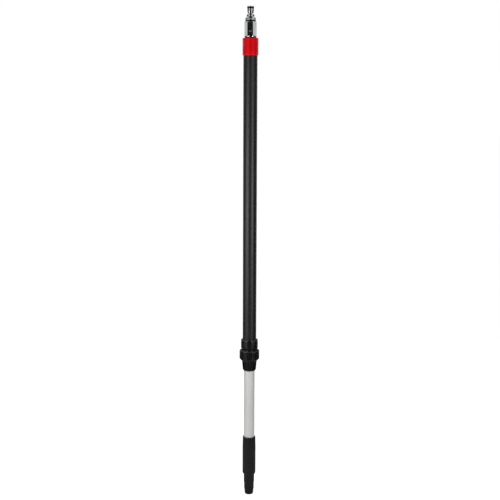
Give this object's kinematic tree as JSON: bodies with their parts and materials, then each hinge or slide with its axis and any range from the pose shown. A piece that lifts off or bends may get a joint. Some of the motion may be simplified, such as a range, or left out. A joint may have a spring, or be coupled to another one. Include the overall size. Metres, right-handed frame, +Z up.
{
  "type": "telescopic water-fed window cleaning pole",
  "caption": "Short telescopic water-fed pole: black outer tube with red end collar and chrome swivel hose nipple, ribbed lock nut, silver inner tube, stepped tool cone.",
  "frame": {"origin": "centre of the tool cone's tip, on the pole's axis, as set in the picture", "axes": "+Z up the pole from the cone to the hose nipple; -Y is the side that faces the viewer"},
  "size_m": [0.0408, 0.0408, 1.0068],
  "materials": {
    "black_anodised": "black anodised, satin",
    "bright_anodised": "clear anodised, satin",
    "plug_aluminium": "turned",
    "red_plastic": "gloss",
    "chrome": "polished",
    "black_plastic": "semi-matte moulded",
    "white_acetal": "moulded",
    "seal_rubber": "moulded",
    "pin_steel": "bright"
  },
  "bodies": {
    "outer_pole": {"outer_tube": "black_anodised", "end_plug": "plug_aluminium", "plug_o_ring": "seal_rubber", "plug_pins": "pin_steel", "end_collar": "red_plastic", "swivel_body": "chrome", "swivel_pins": "pin_steel", "clamp_body": "black_plastic", "collet": "white_acetal", "guide_bush": "white_acetal"},
    "nipple": {"hose_nipple": "chrome", "dust_ring": "seal_rubber", "swivel_o_rings": "seal_rubber", "nipple_o_ring": "seal_rubber"},
    "guide_ring": {"guide_ring": "white_acetal"},
    "inner_pole": {"inner_tube": "bright_anodised", "piston": "white_acetal", "piston_pins": "pin_steel", "piston_o_rings": "seal_rubber", "pole_cone": "black_plastic", "cone_screw": "pin_steel", "cone_o_ring": "seal_rubber", "tip_o_ring": "seal_rubber"},
    "thrust_ring": {"thrust_ring": "white_acetal"},
    "lock_nut": {"lock_nut": "black_plastic", "wiper_ring": "seal_rubber"}
  },
  "joints": [
    {"name": "nipple_swivel", "type": "hinge", "parent": "outer_pole", "child": "nipple", "pos_m": [0, 0, 0.98], "axis": [0, 0, 1], "continuous": true},
    {"name": "pole_extend", "type": "slide", "parent": "outer_pole", "child": "guide_ring", "axis": [0, 0, -1], "range_m": [-0.14, 0.364]},
    {"name": "inner_turn", "type": "hinge", "parent": "guide_ring", "child": "inner_pole", "pos_m": [0, 0, 0.741], "axis": [0, 0, 1], "continuous": true},
    {"name": "nut_travel", "type": "slide", "parent": "outer_pole", "child": "thrust_ring", "axis": [0, 0, 1], "range_m": [-0.0015, 0]},
    {"name": "nut_turn", "type": "hinge", "parent": "thrust_ring", "child": "lock_nut", "pos_m": [0, 0, 0.3], "axis": [0, 0, 1], "range_deg": [-180, 0]}
  ],
  "couplings": [
    {"joint": "nut_travel", "follows": "nut_turn", "m_per_rad": 0.00047746}
  ]
}
